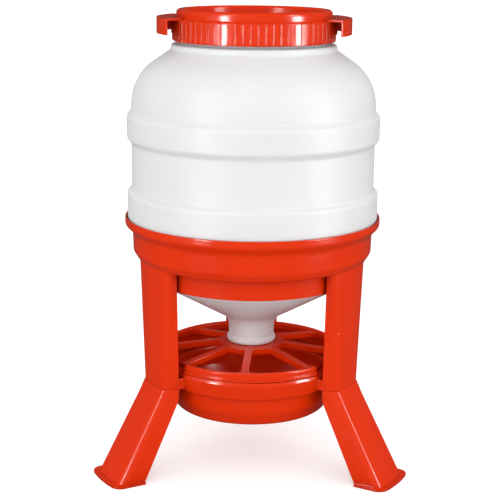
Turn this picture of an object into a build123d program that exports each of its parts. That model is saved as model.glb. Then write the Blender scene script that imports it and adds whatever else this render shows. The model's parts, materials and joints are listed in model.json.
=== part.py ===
from build123d import *
import math
import os

os.makedirs("parts", exist_ok=True)

# Gravity poultry feeder for about 30 kg of grain: a round plastic barrel with a screw lid
# stands spout-down in a ring on three channel legs, over a bowl with a spoked feed grid.
# Every piece is modelled about the barrel's own axis, front towards -Y, floor at z = 0,
# and written with the middle of the whole footprint at the origin. All sizes in mm.

# ---- driving dimensions -------------------------------------------------------------
HEIGHT = 730.4            # floor to the top of the lid
RIB_R = 200.0             # the barrel's two stiffening ribs, its widest part
BARREL_R = 193.0          # barrel wall between the ribs
SEAT_R = 187.5            # barrel wall inside the ring
BARREL_WALL = 3.0
NECK_R = 117.5            # root of the thread on the neck
NECK_TOP = 724.0
COLLAR_Z = 676.0          # top of the collar that the lid closes on
SPOUT_R = 34.2            # outside of the spout at its end
SPOUT_Z = 190.0
CONE_SLOPE = 29.5         # degrees from level
CONE_APEX_Z = 213.2       # where the cone's outside would meet the axis

STAND_WALL = 3.0
RING_R = 192.4            # outside of the ring's wall
RIM_R = 204.2             # flared rim round the ring's top
RIM_Z = 405.0
SOCKET_R = 163.2          # band below the ring's shelf
SOCKET_BOTTOM = 303.6
SHELF_Z = 338.0           # underside of the shelf that carries the barrel
SHOULDER_R = 184.0        # outside of the shelf, where the ring's sloping shoulder starts
SHOULDER_Z = 350.0
TRAY_R = 152.6            # outside of the band that holds the bowl, near its top
TRAY_TOP = 169.8
TRAY_BOTTOM = 139.0
LEGS = 3
LEG_END_Z = 146.0         # where an upright meets its foot
FOOT_FLANGE = 8.0
FOOT_TOE_U = 263.0        # foot's outer face at the floor, from the axis

GRID_R = 149.3            # outside of the feed grid's lip
GRID_APEX_Z = 199.6       # the grid's face is a shallow cone with this apex
GRID_FALL = 0.132
SPOKES = 8
SPOKE_START = -94.0       # degrees; the spoke nearest the front sits just off centre
SPOKE_WIDTH = 12.0
BOWL_R = 138.5
BOWL_BOTTOM = 89.6

THREAD_PITCH = 10.0
THREAD_CREST_R = 120.8    # crest of the neck's thread
LID_THREAD_R = 118.3      # crest of the lid's thread, just clear of the neck
LID_SKIRT_Z = 681.6
LID_R = 126.6             # top of the lid's skirt, which widens a little downwards
LID_WALL = 3.2
LID_LEDGE_Z = 715.8       # top of the skirt, where the rim stands on it
LID_RIM_R = 121.8
GRIP_RIBS = 70            # fine ribs round the skirt, every fifth one a bold one
BOLD_RIBS = 14
GRIP_START = -97.5        # degrees
LUG_R = 152.5
LUG_SPAN = 58.0           # degrees

GAP = 0.35                # clearance between pieces that come apart
FOOT_REACH = FOOT_TOE_U + FOOT_FLANGE
AXIS_Y = (RIM_R - FOOT_REACH) / 2

SECTION = Plane.XZ        # local x is the distance from the axis, local y the height
LEG_TURN = 90.0           # one leg points to the rear


def save(builder, name):
    """Label a finished piece and write it with the footprint's middle at the origin."""
    builder.part.label = name
    piece = Pos(0, AXIS_Y, 0) * builder.part
    piece.label = name
    export_step(piece, f"parts/{name}.step")


def skin(corners, radii, wall):
    """Half-section of a turned wall: a filleted outline thickened towards its left."""
    with BuildSketch(SECTION) as half:
        with BuildLine():
            FilletPolyline(corners, radius=radii)
            offset(amount=wall, side=Side.LEFT, closed=True)
        make_face()
        free_ends = [edge for edge in half.edges()
                     if abs(edge.length - wall) < 0.01 and min(v.X for v in edge.vertices()) > 1]
        fillet([corner for edge in free_ends for corner in edge.vertices()], radius=0.4 * wall)
    return half.sketch


def profile(corners, rounding=0.5):
    """Half-section of a solid turned piece, from its corners."""
    with BuildSketch(SECTION) as half:
        with BuildLine():
            FilletPolyline(corners, radius=rounding, close=True)
        make_face()
    return half.sketch


def thread_ridge(root_r, crest_r, start_z, turns):
    """One helical ridge, standing from its root radius to its crest radius."""
    base_half, crest_half = 2.25, 1.15
    path = Helix(pitch=THREAD_PITCH, height=THREAD_PITCH * turns, radius=root_r,
                 center=(0, 0, start_z))
    with BuildSketch(Plane(origin=(0, 0, start_z), x_dir=(1, 0, 0), z_dir=(0, -1, 0))) as tooth:
        with BuildLine():
            Polyline((root_r, -base_half), (crest_r, -crest_half), (crest_r, crest_half),
                     (root_r, base_half), close=True)
        make_face()
    return sweep(tooth.sketch, path=path, is_frenet=True, mode=Mode.PRIVATE)


def channel(height, face_u, sag, half, back_u, back_half, corner):
    """Level section through a leg's channel: bowed outer face, sides splayed towards the axis."""
    with BuildSketch(Plane.XY.offset(height)) as section:
        with BuildLine():
            ThreePointArc((face_u - sag, -half), (face_u, 0), (face_u - sag, half))
            Polyline((face_u - sag, half), (back_u, back_half), (back_u, -back_half),
                     (face_u - sag, -half))
        make_face()
        fillet(section.vertices().group_by(Axis.X)[-1], radius=corner)
    return section.sketch


def inset(station, depth, run_out=0.0):
    """The same channel station moved in from its face and sides, run on towards the axis."""
    height, face_u, sag, half, back_u, back_half, corner = station
    splay = (back_half - half) / (face_u - sag - back_u)
    side = depth * math.hypot(1, splay)
    return (height, face_u - depth, sag, half + splay * depth - side,
            back_u - run_out, back_half + splay * run_out - side, max(corner - depth, 1.0))


# ---- legs: an upright under the ring, plugged into a foot -----------------------------
# Each station is height, face_u, sag, half width at the face, back_u, half width at the back,
# and the rounding of the two long outer edges.
UPRIGHT = [
    (LEG_END_Z, 181.2, 2.9, 35.5, 155.0, 43.5, 17.0),
    (SHELF_Z + 2.4, 184.2, 7.2, 53.5, 162.0, 50.5, 12.5),
]
FOOT = [
    (LEG_END_Z - 0.2, 181.4, 2.9, 35.0, 155.0, 44.0, 9.0),
    (127.0, 190.8, 3.0, 36.0, 156.0, 44.0, 9.5),
    (0.0, FOOT_TOE_U, 5.0, 42.5, 216.0, 43.5, 13.0),
]
TONGUE_BOTTOM = 121.0
LEDGE_TOP = LEG_END_Z + STAND_WALL
tongue_inset = STAND_WALL + 2 * GAP


def between(first, last, height):
    """The station at a height between two others, by straight interpolation."""
    share = (height - first[0]) / (last[0] - first[0])
    return tuple(a + (b - a) * share for a, b in zip(first, last))


def channel_run(stations, depth=0.0, run_out=0.0):
    """Channel sections through the stations, all set in by one depth."""
    return [channel(*inset(station, depth, run_out)) for station in stations]


with BuildPart() as upright:
    loft(channel_run(UPRIGHT), ruled=True)
    hollow_start = between(UPRIGHT[0], UPRIGHT[1], LEDGE_TOP)
    loft(channel_run([hollow_start, *UPRIGHT[1:]], STAND_WALL, 30.0), ruled=True,
         mode=Mode.SUBTRACT)
    tongue = [(TONGUE_BOTTOM, *UPRIGHT[0][1:]), (LEDGE_TOP, *UPRIGHT[0][1:])]
    loft(channel_run(tongue, tongue_inset), ruled=True)
    through = [(TONGUE_BOTTOM - 1, *UPRIGHT[0][1:]), (LEDGE_TOP + 1, *UPRIGHT[0][1:])]
    loft(channel_run(through, tongue_inset + STAND_WALL, 30.0), ruled=True, mode=Mode.SUBTRACT)

with BuildPart() as foot:
    loft(channel_run(FOOT), ruled=True)
    toe_height, *toe = FOOT[-1]
    flange = (0.0, toe[0] + FOOT_FLANGE, toe[1], toe[2] + 6.0, toe[3], toe[4] + 5.0, 17.0)
    extrude(channel(*flange), amount=3.5)
    above = (LEG_END_Z + 1, *FOOT[0][1:])
    below = between(FOOT[1], FOOT[2], -1.0)
    loft(channel_run([above, FOOT[1], below], STAND_WALL, 30.0), ruled=True, mode=Mode.SUBTRACT)

feet = {"foot_rear": 0.0, "foot_front_left": 120.0, "foot_front_right": 240.0}
for name, turn in feet.items():
    with BuildPart() as placed_foot:
        with Locations(Rotation(0, 0, LEG_TURN + turn)):
            add(foot.part)
    save(placed_foot, name)

# ---- stand: ring, shelf, socket band, three uprights and the tray band, one moulding --
RING_OUTLINE = [
    (SOCKET_R - 0.5, SOCKET_BOTTOM), (SOCKET_R, SHELF_Z), (SHOULDER_R, SHELF_Z + 0.4),
    (RING_R - 1.0, SHOULDER_Z), (RING_R, 381.5), (RIM_R, 393.0), (RIM_R, RIM_Z),
]
RING_ROUNDS = [3.5, 4, 8, 9, 6]
BAND_OUTLINE = [
    (TRAY_R - 14.0, TRAY_BOTTOM), (TRAY_R - 5.8, TRAY_BOTTOM), (TRAY_R, TRAY_TOP - 6.0),
    (TRAY_R - 2.2, TRAY_TOP),
]
WEB_START = 143.5
WEB_REACH = 16.0          # how far a web runs from the band into an upright
WEB_THICK = 3.6
WEB_OFFSET = 41.6
WEB_HEIGHT = 17.0

with BuildPart() as stand:
    revolve(skin(RING_OUTLINE, RING_ROUNDS, STAND_WALL), axis=Axis.Z)
    revolve(skin(BAND_OUTLINE, [4, 8], STAND_WALL), axis=Axis.Z)
    with PolarLocations(0, LEGS, start_angle=LEG_TURN):
        add(upright.part)
    with BuildSketch(Plane.XY.offset(LEG_END_Z)):
        with PolarLocations(0, LEGS, start_angle=LEG_TURN):
            with GridLocations(0, 2 * WEB_OFFSET, 1, 2):
                with Locations((WEB_START, 0)):
                    Rectangle(WEB_REACH, WEB_THICK, align=(Align.MIN, Align.CENTER))
    extrude(amount=WEB_HEIGHT)
save(stand, "stand")

# ---- barrel: blow-moulded, one wall from spout to neck --------------------------------
cone_rise = math.tan(math.radians(CONE_SLOPE))
SEAT_STEP_R = SOCKET_R - STAND_WALL - 1.4
SEAT_Z = SHELF_Z + STAND_WALL + 0.8


def cone_z(radius):
    """Height of the cone's outside at a radius."""
    return CONE_APEX_Z + cone_rise * radius


BARREL_OUTLINE = [
    (SPOUT_R, SPOUT_Z), (36.8, 210.0), (37.2, cone_z(37.2)),
    (SEAT_STEP_R, cone_z(SEAT_STEP_R)), (SEAT_STEP_R, SEAT_Z), (SEAT_R - 7.6, SEAT_Z + 0.6),
    (SEAT_R, SEAT_Z + 13.5),
    (SEAT_R, 397.5), (RIB_R - 0.2, 401.5), (RIB_R, 445.0), (BARREL_R - 0.2, 451.0),
    (BARREL_R, 522.5), (RIB_R, 531.0), (RIB_R + 0.2, 566.0), (BARREL_R, 574.0),
    (BARREL_R - 0.8, 626.0), (130.6, 668.0), (130.0, COLLAR_Z), (NECK_R, COLLAR_Z + 2.5),
    (NECK_R, NECK_TOP),
]
BARREL_ROUNDS = [12, 24, 6, 5, 6, 8, 4, 6, 6, 5, 6, 9, 9, 6, 80, 4, 4, 2]
THREAD_START = COLLAR_Z + 15.0

with BuildPart() as hopper_barrel:
    revolve(skin(BARREL_OUTLINE, BARREL_ROUNDS, BARREL_WALL), axis=Axis.Z)
    bead = [(33.5, 195.0), (37.6, 195.4), (39.4, 199.0), (38.8, 203.2), (36.0, 208.5), (34.5, 208.5)]
    revolve(profile(bead, 0.9), axis=Axis.Z)
    add(thread_ridge(NECK_R - 0.4, THREAD_CREST_R, THREAD_START, 1.6))
save(hopper_barrel, "hopper_barrel")

# ---- lid and its seal -----------------------------------------------------------------
LID_OUTLINE = [
    (LID_R + 0.6, LID_SKIRT_Z), (LID_R, LID_LEDGE_Z), (LID_RIM_R, LID_LEDGE_Z + 0.4),
    (LID_RIM_R, HEIGHT), (110.4, HEIGHT), (107.6, 717.0), (0, 717.0),
]
LID_ROUNDS = [3.4, 1.4, 6.0, 5.0, 4.0]
LUG_PLATE = (715.0, 718.4)
LUG_TAB_Z = 693.3
LUG_BOSS_R = 129.8
UNDER_TOP = HEIGHT - LID_WALL

with BuildPart() as lug:
    tab_inner = LUG_R - 3.0
    revolve(profile([(LID_R - 1, LUG_TAB_Z), (LUG_BOSS_R, LUG_TAB_Z), (LUG_BOSS_R, LUG_PLATE[0]),
                     (tab_inner, LUG_PLATE[0]), (tab_inner, LUG_TAB_Z), (LUG_R, LUG_TAB_Z),
                     (LUG_R, LUG_PLATE[1]), (LID_RIM_R - 0.8, LUG_PLATE[1]),
                     (LID_RIM_R - 0.8, LID_LEDGE_Z - 1.6), (LID_R - 1, LID_LEDGE_Z - 1.6)], 0.6),
            axis=Axis.Z, revolution_arc=LUG_SPAN)

with BuildPart() as screw_lid:
    revolve(skin(LID_OUTLINE, LID_ROUNDS, LID_WALL), axis=Axis.Z)
    with BuildSketch(Plane.XY.offset(LID_SKIRT_Z + 2.0)):
        with PolarLocations(LID_R + 0.5, GRIP_RIBS, start_angle=GRIP_START):
            Circle(0.8)
        with PolarLocations(LID_R + 0.5, BOLD_RIBS, start_angle=GRIP_START):
            Circle(1.4)
    extrude(amount=30.0)
    with Locations(Rotation(0, 0, -LUG_SPAN / 2), Rotation(0, 0, 180 - LUG_SPAN / 2)):
        add(lug.part)
    lid_root = LID_R - LID_WALL + 1.2
    add(thread_ridge(lid_root, LID_THREAD_R, THREAD_START - THREAD_PITCH / 2, 1.4))
save(screw_lid, "screw_lid")

with BuildPart() as lid_gasket:
    revolve(profile([(114.5, NECK_TOP + 0.1), (117.0, NECK_TOP + 0.1), (117.0, UNDER_TOP - 0.4),
                     (114.5, UNDER_TOP - 0.4)]), axis=Axis.Z)
save(lid_gasket, "lid_gasket")

# ---- feed grid ------------------------------------------------------------------------
HUB_R = 35.7              # the spout's end stands in this hole
WINDOW_INNER_R = 52.0
WINDOW_OUTER_R = 139.5
WINDOW_CORNER = 10.0
GRID_WALL = 2.8
RIM_DEPTH = 9.0           # how far a window's turned-down edge reaches under the face
NOTCH_SPAN = 32.0         # degrees of lip left out at each upright


def face_z(radius):
    """Height of the grid's face at a radius."""
    return GRID_APEX_Z - GRID_FALL * radius


def windows(height, grow=0.0):
    """The openings between the spokes, grown by a margin all round."""
    with BuildSketch(Plane.XY.offset(height)) as openings:
        Circle(WINDOW_OUTER_R + grow)
        Circle(WINDOW_INNER_R - grow, mode=Mode.SUBTRACT)
        with PolarLocations(0, SPOKES, start_angle=SPOKE_START):
            Rectangle(2 * GRID_R, SPOKE_WIDTH - 2 * grow, align=(Align.MIN, Align.CENTER),
                      mode=Mode.SUBTRACT)
        fillet(openings.vertices(), radius=WINDOW_CORNER + grow)
    return openings.sketch


GRID_OUTLINE = [
    (HUB_R, face_z(HUB_R)), (WINDOW_OUTER_R, face_z(WINDOW_OUTER_R)), (141.8, 183.2),
    (147.6, 183.9), (GRID_R, 181.8), (GRID_R, 174.2), (TRAY_R - 1.1, 173.4),
    (TRAY_R - 1.1, TRAY_TOP + 0.3), (146.2, TRAY_TOP + 0.3), (146.2, 157.0), (143.6, 157.0),
    (143.6, face_z(143.6) - GRID_WALL), (HUB_R + 3.2, face_z(HUB_R + 3.2) - GRID_WALL),
    (HUB_R + 3.2, 182.0), (HUB_R, 182.0),
]
THICK_FACE = [(HUB_R, face_z(HUB_R)), (143.0, face_z(143.0)),
              (143.0, face_z(143.0) - RIM_DEPTH), (HUB_R, face_z(HUB_R) - RIM_DEPTH)]
CUT_FROM = 150.0
CUT_HEIGHT = 60.0

with BuildPart() as window_rims:
    extrude(windows(CUT_FROM, 2.2), amount=CUT_HEIGHT)
    revolve(profile(THICK_FACE, 0), axis=Axis.Z, mode=Mode.INTERSECT)

with BuildPart() as notch:
    notch_wall = [(142.4, CUT_FROM), (GRID_R + 4, CUT_FROM), (GRID_R + 4, 190.0), (142.4, 190.0)]
    revolve(profile(notch_wall, 0), axis=Axis.Z, revolution_arc=NOTCH_SPAN)

with BuildPart() as feed_grid:
    revolve(profile(GRID_OUTLINE, 0.45), axis=Axis.Z)
    add(window_rims.part)
    extrude(windows(CUT_FROM), amount=CUT_HEIGHT, mode=Mode.SUBTRACT)
    with PolarLocations(0, LEGS, start_angle=LEG_TURN - NOTCH_SPAN / 2):
        add(notch.part, mode=Mode.SUBTRACT)
save(feed_grid, "feed_grid")

# ---- bowl, with the cone that spreads the feed outwards -------------------------------
BOWL_OUTLINE = [
    (0, BOWL_BOTTOM + 44.0), (56.0, BOWL_BOTTOM), (123.0, BOWL_BOTTOM), (135.2, 113.0),
    (BOWL_R - 0.6, TRAY_BOTTOM + STAND_WALL + 0.2), (TRAY_R - 9.4, TRAY_BOTTOM + STAND_WALL + 0.2),
]
with BuildPart() as feed_bowl:
    revolve(skin(BOWL_OUTLINE, [12, 12, 24, 1.5], 2.8), axis=Axis.Z)
save(feed_bowl, "feed_bowl")
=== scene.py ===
import json
import math
import bpy
from mathutils import Matrix, Vector


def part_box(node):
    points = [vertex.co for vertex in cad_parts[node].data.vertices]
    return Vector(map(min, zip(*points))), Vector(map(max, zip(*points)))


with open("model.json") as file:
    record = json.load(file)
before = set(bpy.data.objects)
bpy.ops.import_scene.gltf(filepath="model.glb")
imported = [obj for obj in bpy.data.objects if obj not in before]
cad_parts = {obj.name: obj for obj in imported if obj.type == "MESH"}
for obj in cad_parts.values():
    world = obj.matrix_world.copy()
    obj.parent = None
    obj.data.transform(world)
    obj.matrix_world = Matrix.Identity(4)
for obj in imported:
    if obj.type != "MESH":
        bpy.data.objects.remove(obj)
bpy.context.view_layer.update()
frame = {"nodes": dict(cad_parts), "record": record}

# ---- places, from the frame ------------------------------------------------------------
barrel_low, barrel_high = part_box("hopper_barrel")
AXIS_X = (barrel_low.x + barrel_high.x) / 2
AXIS_Y = (barrel_low.y + barrel_high.y) / 2

# ---- camera: a long lens a little above the barrel's shoulder, looking down ------------
CAMERA_DISTANCE = 2.0757
CAMERA_HEIGHT = 0.8346
CAMERA_LENS = 94.66
SENSOR_WIDTH = 36.0
PITCH, ROLL, YAW = math.radians(13.27), math.radians(0.57), math.radians(0.093)


def make_camera():
    data = bpy.data.cameras.new("camera")
    data.lens = CAMERA_LENS
    data.sensor_width = SENSOR_WIDTH
    camera = bpy.data.objects.new("camera", data)
    place = Matrix.Translation((AXIS_X, AXIS_Y - CAMERA_DISTANCE, CAMERA_HEIGHT))
    turn = (Matrix.Rotation(YAW, 4, "Z") @ Matrix.Rotation(math.pi / 2 - PITCH, 4, "X")
            @ Matrix.Rotation(ROLL, 4, "Z"))
    camera.matrix_world = place @ turn
    bpy.context.scene.collection.objects.link(camera)
    bpy.context.scene.camera = camera


# ---- studio ----------------------------------------------------------------------------
LIGHT_REACH = 2.6          # metres from the aim point to the soft boxes
LIGHT_AIM_Z = 0.4          # the aim point is on the barrel's axis, this far up
BACKDROP = 1.0             # how bright the room looks to the camera
WALL_FILL = 1.50           # what the room gives matt faces, from its walls
CEILING_FILL = 0.75        # and from its ceiling
WALLS_END, CEILING_START = 0.05, 0.9    # as the upward part of the direction
WORLD_GLOSS = 0.06         # what polished faces see of the room
FLOOR_REACH = 60.0         # far enough to hide the horizon
FLOOR_GREY = 0.86
FLOOR_LIFT = 0.42          # the floor's own light, which keeps it white
FLOOR_BOUNCE = 0.60        # the grey that matt faces see of the floor
FLOOR_GLOSS = 0.07         # and the grey that polished faces see
FLOOR_Z = -0.0002          # just under the feet, so that the two faces don't share a plane


def softbox(name, azimuth, elevation, width, height, radiance, glossy=True, diffuse=True):
    """A soft box round the feeder; azimuth is from the front (-Y), + to the right.

    Radiance is in watts per square metre per steradian. A box lights matt faces, polished
    faces or both.
    """
    data = bpy.data.lights.new(name, "AREA")
    data.shape = "RECTANGLE"
    data.size, data.size_y = width, height
    data.energy = radiance * math.pi * width * height
    light = bpy.data.objects.new(name, data)
    turn, lift = math.radians(azimuth), math.radians(elevation)
    middle = Vector((AXIS_X, AXIS_Y, LIGHT_AIM_Z))
    aim = Vector((-math.sin(turn) * math.cos(lift), math.cos(turn) * math.cos(lift), -math.sin(lift)))
    light.location = middle - aim * LIGHT_REACH
    light.rotation_euler = aim.to_track_quat("-Z", "Y").to_euler()
    light.visible_glossy = glossy
    light.visible_diffuse = diffuse
    bpy.context.scene.collection.objects.link(light)


def grey(value):
    return (value, value, value, 1.0)


def by_ray(tree, kind, otherwise, when):
    """One shader for the named kind of ray, and another for the rest."""
    path = tree.nodes.new("ShaderNodeLightPath")
    mix = tree.nodes.new("ShaderNodeMixShader")
    tree.links.new(path.outputs[kind], mix.inputs[0])
    tree.links.new(otherwise, mix.inputs[1])
    tree.links.new(when, mix.inputs[2])
    return mix.outputs[0]


def room_light(tree, strength):
    node = tree.nodes.new("ShaderNodeBackground")
    node.inputs["Color"].default_value = grey(1.0)
    node.inputs["Strength"].default_value = strength
    return node


def make_world():
    """White behind the feeder, and a dimmer room for what lights it."""
    world = bpy.data.worlds.new("studio")
    world.use_nodes = True
    tree = world.node_tree
    backdrop = room_light(tree, BACKDROP)
    mirror = room_light(tree, WORLD_GLOSS)
    room = room_light(tree, WALL_FILL)
    direction = tree.nodes.new("ShaderNodeTexCoord")
    split = tree.nodes.new("ShaderNodeSeparateXYZ")
    tree.links.new(direction.outputs["Generated"], split.inputs[0])
    fall = spread_from(tree, split.outputs["Z"], WALLS_END, CEILING_START, WALL_FILL, CEILING_FILL)
    tree.links.new(fall, room.inputs["Strength"])
    lit = by_ray(tree, "Is Glossy Ray", room.outputs[0], mirror.outputs[0])
    seen = by_ray(tree, "Is Camera Ray", lit, backdrop.outputs[0])
    tree.links.new(seen, tree.nodes["World Output"].inputs["Surface"])
    bpy.context.scene.world = world


def make_studio():
    make_world()
    softbox("strip_left", -43, 0, 0.50, 1.0, 30.0, diffuse=False)
    softbox("strip_left_high", -43, 30, 0.60, 1.4, 9.0, diffuse=False)
    softbox("halo_left", -58, 6, 1.2, 2.2, 0.6, diffuse=False)
    softbox("strip_right", 64, 0, 0.70, 1.0, 26.0, diffuse=False)
    softbox("strip_right_high", 64, 30, 0.70, 1.4, 9.0, diffuse=False)
    softbox("fill_front", 0, 10, 2.6, 1.6, 0.80, glossy=False)
    softbox("fill_right", 58, 14, 1.3, 2.0, 0.90, glossy=False)
    softbox("fill_left", -52, 12, 1.3, 2.0, 0.75, glossy=False)
    bpy.context.scene.view_settings.view_transform = "Standard"
    bpy.context.scene.view_settings.look = "None"

    mesh = bpy.data.meshes.new("floor")
    reach = FLOOR_REACH
    corners = [(-reach, -reach, FLOOR_Z), (reach, -reach, FLOOR_Z),
               (reach, reach, FLOOR_Z), (-reach, reach, FLOOR_Z)]
    mesh.from_pydata(corners, [], [(0, 1, 2, 3)])
    floor = bpy.data.objects.new("floor", mesh)
    bpy.context.scene.collection.objects.link(floor)
    mesh.materials.append(floor_material())


# ---- materials -------------------------------------------------------------------------
NOISE_LOW, NOISE_HIGH = 0.3, 0.7
EDGE_RADIUS = 0.0012       # how far the shading rounds an edge
EDGE_SAMPLES = 12
PAINTED_SHADE_REACH = 0.045       # how near a wall has to be for painted shade to darken the red plastic's colour and gloss
PAINTED_SHADE_SAMPLES = 8


def new_material(name):
    material = bpy.data.materials.new(name)
    material.use_nodes = True
    tree = material.node_tree
    return material, tree, tree.nodes["Principled BSDF"]


def noise(tree, scale, detail=3.0, rough=0.5, stretch=(1, 1, 1)):
    """Noise over the object's own space; scale is in cycles per metre."""
    coordinates = tree.nodes.new("ShaderNodeTexCoord")
    mapping = tree.nodes.new("ShaderNodeMapping")
    mapping.inputs["Scale"].default_value = stretch
    texture = tree.nodes.new("ShaderNodeTexNoise")
    texture.inputs["Scale"].default_value = scale
    texture.inputs["Detail"].default_value = detail
    texture.inputs["Roughness"].default_value = rough
    tree.links.new(coordinates.outputs["Object"], mapping.inputs["Vector"])
    tree.links.new(mapping.outputs["Vector"], texture.inputs["Vector"])
    return texture.outputs["Fac"]


def spread_from(tree, value, start, end, low, high):
    """Maps the range from start to end onto the range from low to high."""
    node = tree.nodes.new("ShaderNodeMapRange")
    node.inputs["From Min"].default_value = start
    node.inputs["From Max"].default_value = end
    node.inputs["To Min"].default_value = low
    node.inputs["To Max"].default_value = high
    tree.links.new(value, node.inputs["Value"])
    return node.outputs["Result"]


def spread(tree, value, low, high):
    """Maps noise, which sits round a half, onto a range."""
    return spread_from(tree, value, NOISE_LOW, NOISE_HIGH, low, high)


def painted_hollow_shade(tree, reach):
    """How open a place is, for painted shade: 1 on free faces, less in corners and hollows."""
    node = tree.nodes.new("ShaderNodeAmbientOcclusion")
    node.samples = PAINTED_SHADE_SAMPLES
    node.inputs["Distance"].default_value = reach
    return node.outputs["AO"]


def shaded(tree, colour, amount):
    """The colour multiplied by an amount from 0 to 1."""
    node = tree.nodes.new("ShaderNodeMix")
    node.data_type = "RGBA"
    node.blend_type = "MULTIPLY"
    node.inputs["Factor"].default_value = 1.0
    tree.links.new(colour, node.inputs["A"])
    tree.links.new(amount, node.inputs["B"])
    return node.outputs["Result"]


def two_tone(tree, value, dark, light):
    node = tree.nodes.new("ShaderNodeMix")
    node.data_type = "RGBA"
    node.inputs["A"].default_value = (*dark, 1)
    node.inputs["B"].default_value = (*light, 1)
    tree.links.new(value, node.inputs["Factor"])
    return node.outputs["Result"]


def bump(tree, height, distance, strength=1.0, under=None):
    node = tree.nodes.new("ShaderNodeBump")
    node.inputs["Distance"].default_value = distance
    node.inputs["Strength"].default_value = strength
    tree.links.new(height, node.inputs["Height"])
    if under is not None:
        tree.links.new(under, node.inputs["Normal"])
    return node.outputs["Normal"]


def soft_edges(tree, radius):
    node = tree.nodes.new("ShaderNodeBevel")
    node.samples = EDGE_SAMPLES
    node.inputs["Radius"].default_value = radius
    return node.outputs["Normal"]


def matt(tree, value):
    node = tree.nodes.new("ShaderNodeBsdfDiffuse")
    node.inputs["Color"].default_value = grey(value)
    return node.outputs[0]


def floor_material():
    """Near-white paper that looks white to the camera, and dim in the feeder's gloss."""
    material, tree, shader = new_material("pale_floor")
    shader.inputs["Base Color"].default_value = grey(FLOOR_GREY)
    shader.inputs["Roughness"].default_value = 0.9
    shader.inputs["Specular IOR Level"].default_value = 0.05
    shader.inputs["Emission Color"].default_value = grey(1.0)
    shader.inputs["Emission Strength"].default_value = FLOOR_LIFT
    unseen = by_ray(tree, "Is Glossy Ray", matt(tree, FLOOR_BOUNCE), matt(tree, FLOOR_GLOSS))
    seen = by_ray(tree, "Is Camera Ray", unseen, shader.outputs[0])
    tree.links.new(seen, tree.nodes["Material Output"].inputs["Surface"])
    return material


def red_plastic():
    """Glossy injection-moulded polypropylene: faint flow marks, and painted shade that darkens its
    colour and gloss in corners, recesses and between parts.
    """
    material, tree, shader = new_material("red_plastic")
    flow = spread(tree, noise(tree, 9.0, 4.0, 0.6, (1, 1, 0.35)), 0.0, 1.0)
    colour = two_tone(tree, flow, (0.72, 0.029, 0.0010), (0.78, 0.034, 0.0014))
    # painted shade: the red is darkened wherever other faces are near, in corners, recesses and
    # between parts
    painted_shade_openness = painted_hollow_shade(tree, PAINTED_SHADE_REACH)
    tree.links.new(shaded(tree, colour, spread_from(tree, painted_shade_openness, 0.15, 0.8, 0.42, 1.0)),
                   shader.inputs["Base Color"])
    # painted shade on the gloss: reflections are weakened in the same corners and recesses
    tree.links.new(spread_from(tree, painted_shade_openness, 0.25, 0.85, 0.04, 0.5),
                   shader.inputs["Specular IOR Level"])
    polish = spread(tree, noise(tree, 34.0, 5.0, 0.65), 0.13, 0.19)
    tree.links.new(polish, shader.inputs["Roughness"])
    shader.inputs["IOR"].default_value = 1.49
    edges = soft_edges(tree, EDGE_RADIUS)
    ripple = bump(tree, noise(tree, 22.0, 2.0), 0.0004, 0.35, edges)
    tree.links.new(ripple, shader.inputs["Normal"])
    return material


def barrel_plastic():
    """Blow-moulded natural white polyethylene: satin, a little translucent, gently uneven."""
    material, tree, shader = new_material("barrel_plastic")
    cloud = spread(tree, noise(tree, 7.0, 4.0, 0.55), 0.0, 1.0)
    tree.links.new(two_tone(tree, cloud, (0.752, 0.757, 0.772), (0.800, 0.803, 0.812)),
                   shader.inputs["Base Color"])
    polish = spread(tree, noise(tree, 60.0, 4.0, 0.6), 0.40, 0.50)
    tree.links.new(polish, shader.inputs["Roughness"])
    shader.inputs["IOR"].default_value = 1.50
    shader.inputs["Specular IOR Level"].default_value = 0.30
    shader.inputs["Subsurface Weight"].default_value = 0.25
    shader.inputs["Subsurface Radius"].default_value = (0.008, 0.008, 0.009)
    shader.inputs["Subsurface Scale"].default_value = 1.0
    edges = soft_edges(tree, EDGE_RADIUS)
    sway = bump(tree, noise(tree, 11.0, 2.0), 0.0016, 0.5, edges)
    grain = bump(tree, noise(tree, 900.0, 3.0), 0.00005, 0.6, sway)
    tree.links.new(grain, shader.inputs["Normal"])
    return material


def seal_rubber():
    """Matt black rubber with a faint bloom."""
    material, tree, shader = new_material("seal_rubber")
    bloom = spread(tree, noise(tree, 120.0, 4.0), 0.0, 1.0)
    tree.links.new(two_tone(tree, bloom, (0.018, 0.018, 0.018), (0.045, 0.045, 0.044)),
                   shader.inputs["Base Color"])
    shader.inputs["Roughness"].default_value = 0.7
    tree.links.new(bump(tree, noise(tree, 1500.0, 2.0), 0.00004), shader.inputs["Normal"])
    return material


def dress_nodes():
    """Gives each CAD mesh the material that the record names for it."""
    materials = {"red_plastic": red_plastic(), "barrel_plastic": barrel_plastic(),
                 "seal_rubber": seal_rubber()}
    for part in frame["record"]["subparts"]:
        node = frame["nodes"][part["node"]]
        node.data.materials.clear()
        node.data.materials.append(materials[part["material_slot"]])


make_camera()
make_studio()
dress_nodes()
